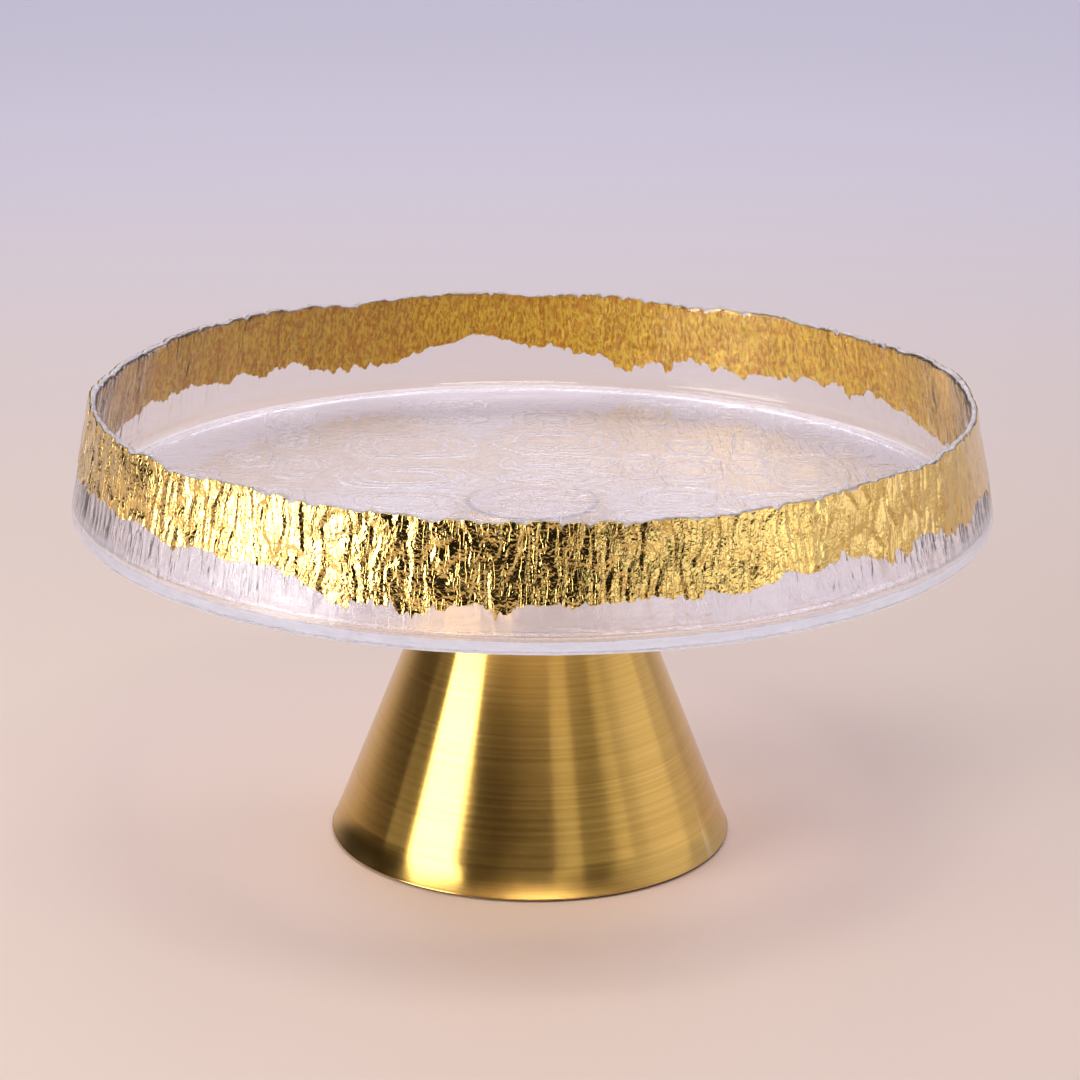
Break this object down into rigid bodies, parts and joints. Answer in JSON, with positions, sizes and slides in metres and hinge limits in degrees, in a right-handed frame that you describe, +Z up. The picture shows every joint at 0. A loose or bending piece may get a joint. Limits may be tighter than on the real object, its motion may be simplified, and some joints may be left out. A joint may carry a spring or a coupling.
{
  "type": "cake stand",
  "caption": "Pedestal cake stand: round clear glass tray with an upright wall and a torn band of gold leaf, clamped to a hollow brushed-gold cone.",
  "frame": {"origin": "middle of the stand's footprint, on the surface it rests on", "axes": "+Z up along the axis of the cone; +Y towards the back of the tray, where the leaf leaves a bare lip"},
  "size_m": [0.3, 0.3, 0.1523],
  "materials": {
    "tray_glass": "moulded clear glass with a stippled underside and a bark-like relief",
    "gilding_size": "amber adhesive varnish",
    "gold_leaf": "crinkled metal leaf, lacquered",
    "brushed_gold": "satin, brushed round the cone",
    "raw_steel": "plain mill finish",
    "foam_pad": "matt closed-cell foam",
    "milky_adhesive": "milky cured adhesive, which hides the plate from above",
    "stainless_steel": "turned",
    "black_rubber": "matt",
    "zinc_hardware": "bright zinc plate"
  },
  "bodies": {
    "root": {"glass_tray": "tray_glass", "leaf_size": "gilding_size", "gold_leaf": "gold_leaf", "pedestal_cone": "brushed_gold", "top_disc": "raw_steel", "base_ring": "raw_steel", "anti_slip_pad": "foam_pad", "bond_film": "milky_adhesive", "bonding_plate": "stainless_steel", "top_gasket": "black_rubber", "plain_washer": "zinc_hardware", "lock_washer": "zinc_hardware", "clamp_bolt": "zinc_hardware"}
  },
  "joints": []
}
